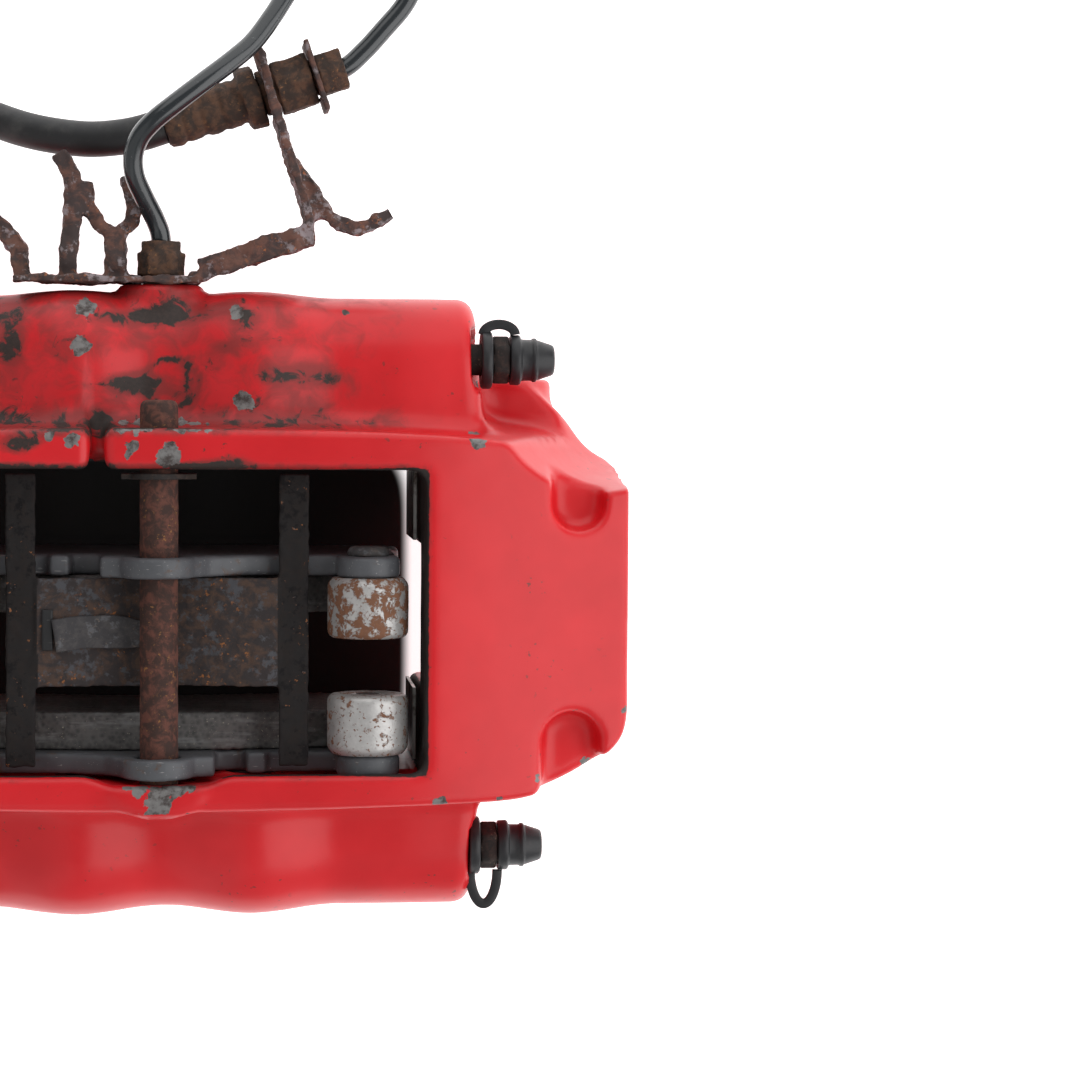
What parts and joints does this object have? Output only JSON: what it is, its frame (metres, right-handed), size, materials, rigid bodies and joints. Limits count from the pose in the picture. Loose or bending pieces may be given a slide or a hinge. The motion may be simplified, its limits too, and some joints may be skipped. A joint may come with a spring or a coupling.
{
  "type": "brake caliper",
  "caption": "Fixed disc brake caliper with opposed pistons in one red casting, pads on a pin under a top window, bleed screws, brake pipe, hose and pipe bracket.",
  "frame": {"origin": "midway between the two mounting holes, on the plane of the mounting faces", "axes": "+Y points inboard, out of the mounting holes and along the disc's axis; +X runs along the disc's tangent, towards the bleed screws; +Z points radially outwards from the disc"},
  "size_m": [0.2769, 0.2576, 0.0754],
  "materials": {
    "red_paint": "gloss red paint over cast aluminium, chipped and oil-stained",
    "rusty_pin": "rusted steel",
    "dark_steel": "dark oxidised steel",
    "spring_steel": "rusted spring steel",
    "pad_plate": "worn dark grey paint on steel",
    "friction": "pressed friction material",
    "zinc": "zinc plate with brown rust",
    "piston_metal": "hard anodised aluminium",
    "seal_rubber": "black rubber",
    "stainless": "stainless sheet",
    "fastener": "zinc-plated steel",
    "bleed_steel": "dark greasy steel",
    "cap_rubber": "black moulded rubber",
    "pipe_coat": "black plastic-coated steel",
    "bracket_rust": "heavily rusted steel sheet",
    "fitting_rust": "rusted steel",
    "hose_rubber": "black rubber"
  },
  "bodies": {
    "caliper": {"caliper_body": "red_paint", "pad_pin": "rusty_pin", "pin_clip": "dark_steel", "pad_spring": "spring_steel", "piston_seals": "seal_rubber", "dust_boots": "seal_rubber", "abutment_plates": "stainless", "abutment_screws": "fastener", "inboard_bleed_cap": "cap_rubber", "outboard_bleed_cap": "cap_rubber", "passage_plugs": "fastener", "union_nut": "fitting_rust", "brake_pipe": "pipe_coat", "line_bracket": "bracket_rust", "hose_clip": "bracket_rust", "hose_union_nut": "fitting_rust", "hose_block": "fitting_rust", "hose_ferrule": "fitting_rust", "brake_hose": "hose_rubber", "hose_end_ferrule": "fitting_rust", "hose_end_fitting": "fitting_rust"},
    "inboard_pad": {"inboard_backing_plate": "pad_plate", "inboard_friction_pad": "friction", "inboard_damper_weights": "zinc", "inboard_weight_rivets": "fastener"},
    "outboard_pad": {"outboard_backing_plate": "pad_plate", "outboard_friction_pad": "friction", "outboard_damper_weights": "zinc", "outboard_weight_rivets": "fastener"},
    "inboard_left_piston": {"inboard_left_piston": "piston_metal"},
    "inboard_right_piston": {"inboard_right_piston": "piston_metal"},
    "outboard_left_piston": {"outboard_left_piston": "piston_metal"},
    "outboard_right_piston": {"outboard_right_piston": "piston_metal"},
    "inboard_bleed_screw": {"inboard_bleed_screw": "bleed_steel"},
    "outboard_bleed_screw": {"outboard_bleed_screw": "bleed_steel"}
  },
  "joints": [
    {"name": "inboard_left_piston_slide", "type": "slide", "parent": "caliper", "child": "inboard_left_piston", "axis": [0, -1, 0], "range_m": [0, 0.012]},
    {"name": "inboard_right_piston_slide", "type": "slide", "parent": "caliper", "child": "inboard_right_piston", "axis": [0, -1, 0], "range_m": [0, 0.012]},
    {"name": "outboard_left_piston_slide", "type": "slide", "parent": "caliper", "child": "outboard_left_piston", "axis": [0, 1, 0], "range_m": [0, 0.012]},
    {"name": "outboard_right_piston_slide", "type": "slide", "parent": "caliper", "child": "outboard_right_piston", "axis": [0, 1, 0], "range_m": [0, 0.012]},
    {"name": "outboard_pad_slide", "type": "slide", "parent": "caliper", "child": "outboard_pad", "axis": [0, 1, 0], "range_m": [0, 0.012]},
    {"name": "inboard_pad_slide", "type": "slide", "parent": "caliper", "child": "inboard_pad", "axis": [0, 1, 0], "range_m": [0, 0.011]},
    {"name": "inboard_bleed_turn", "type": "hinge", "parent": "caliper", "child": "inboard_bleed_screw", "pos_m": [0.081, 0.005, 0.027], "axis": [1, 0, 0], "range_deg": [0, 180]},
    {"name": "outboard_bleed_turn", "type": "hinge", "parent": "caliper", "child": "outboard_bleed_screw", "pos_m": [0.0784, -0.123, 0.027], "axis": [1, 0, 0], "range_deg": [0, 180]}
  ],
  "couplings": [
    {"joint": "inboard_right_piston_slide", "follows": "inboard_left_piston_slide", "ratio": 1},
    {"joint": "outboard_left_piston_slide", "follows": "inboard_left_piston_slide", "ratio": 1},
    {"joint": "outboard_right_piston_slide", "follows": "inboard_left_piston_slide", "ratio": 1},
    {"joint": "outboard_pad_slide", "follows": "inboard_left_piston_slide", "ratio": 1}
  ]
}
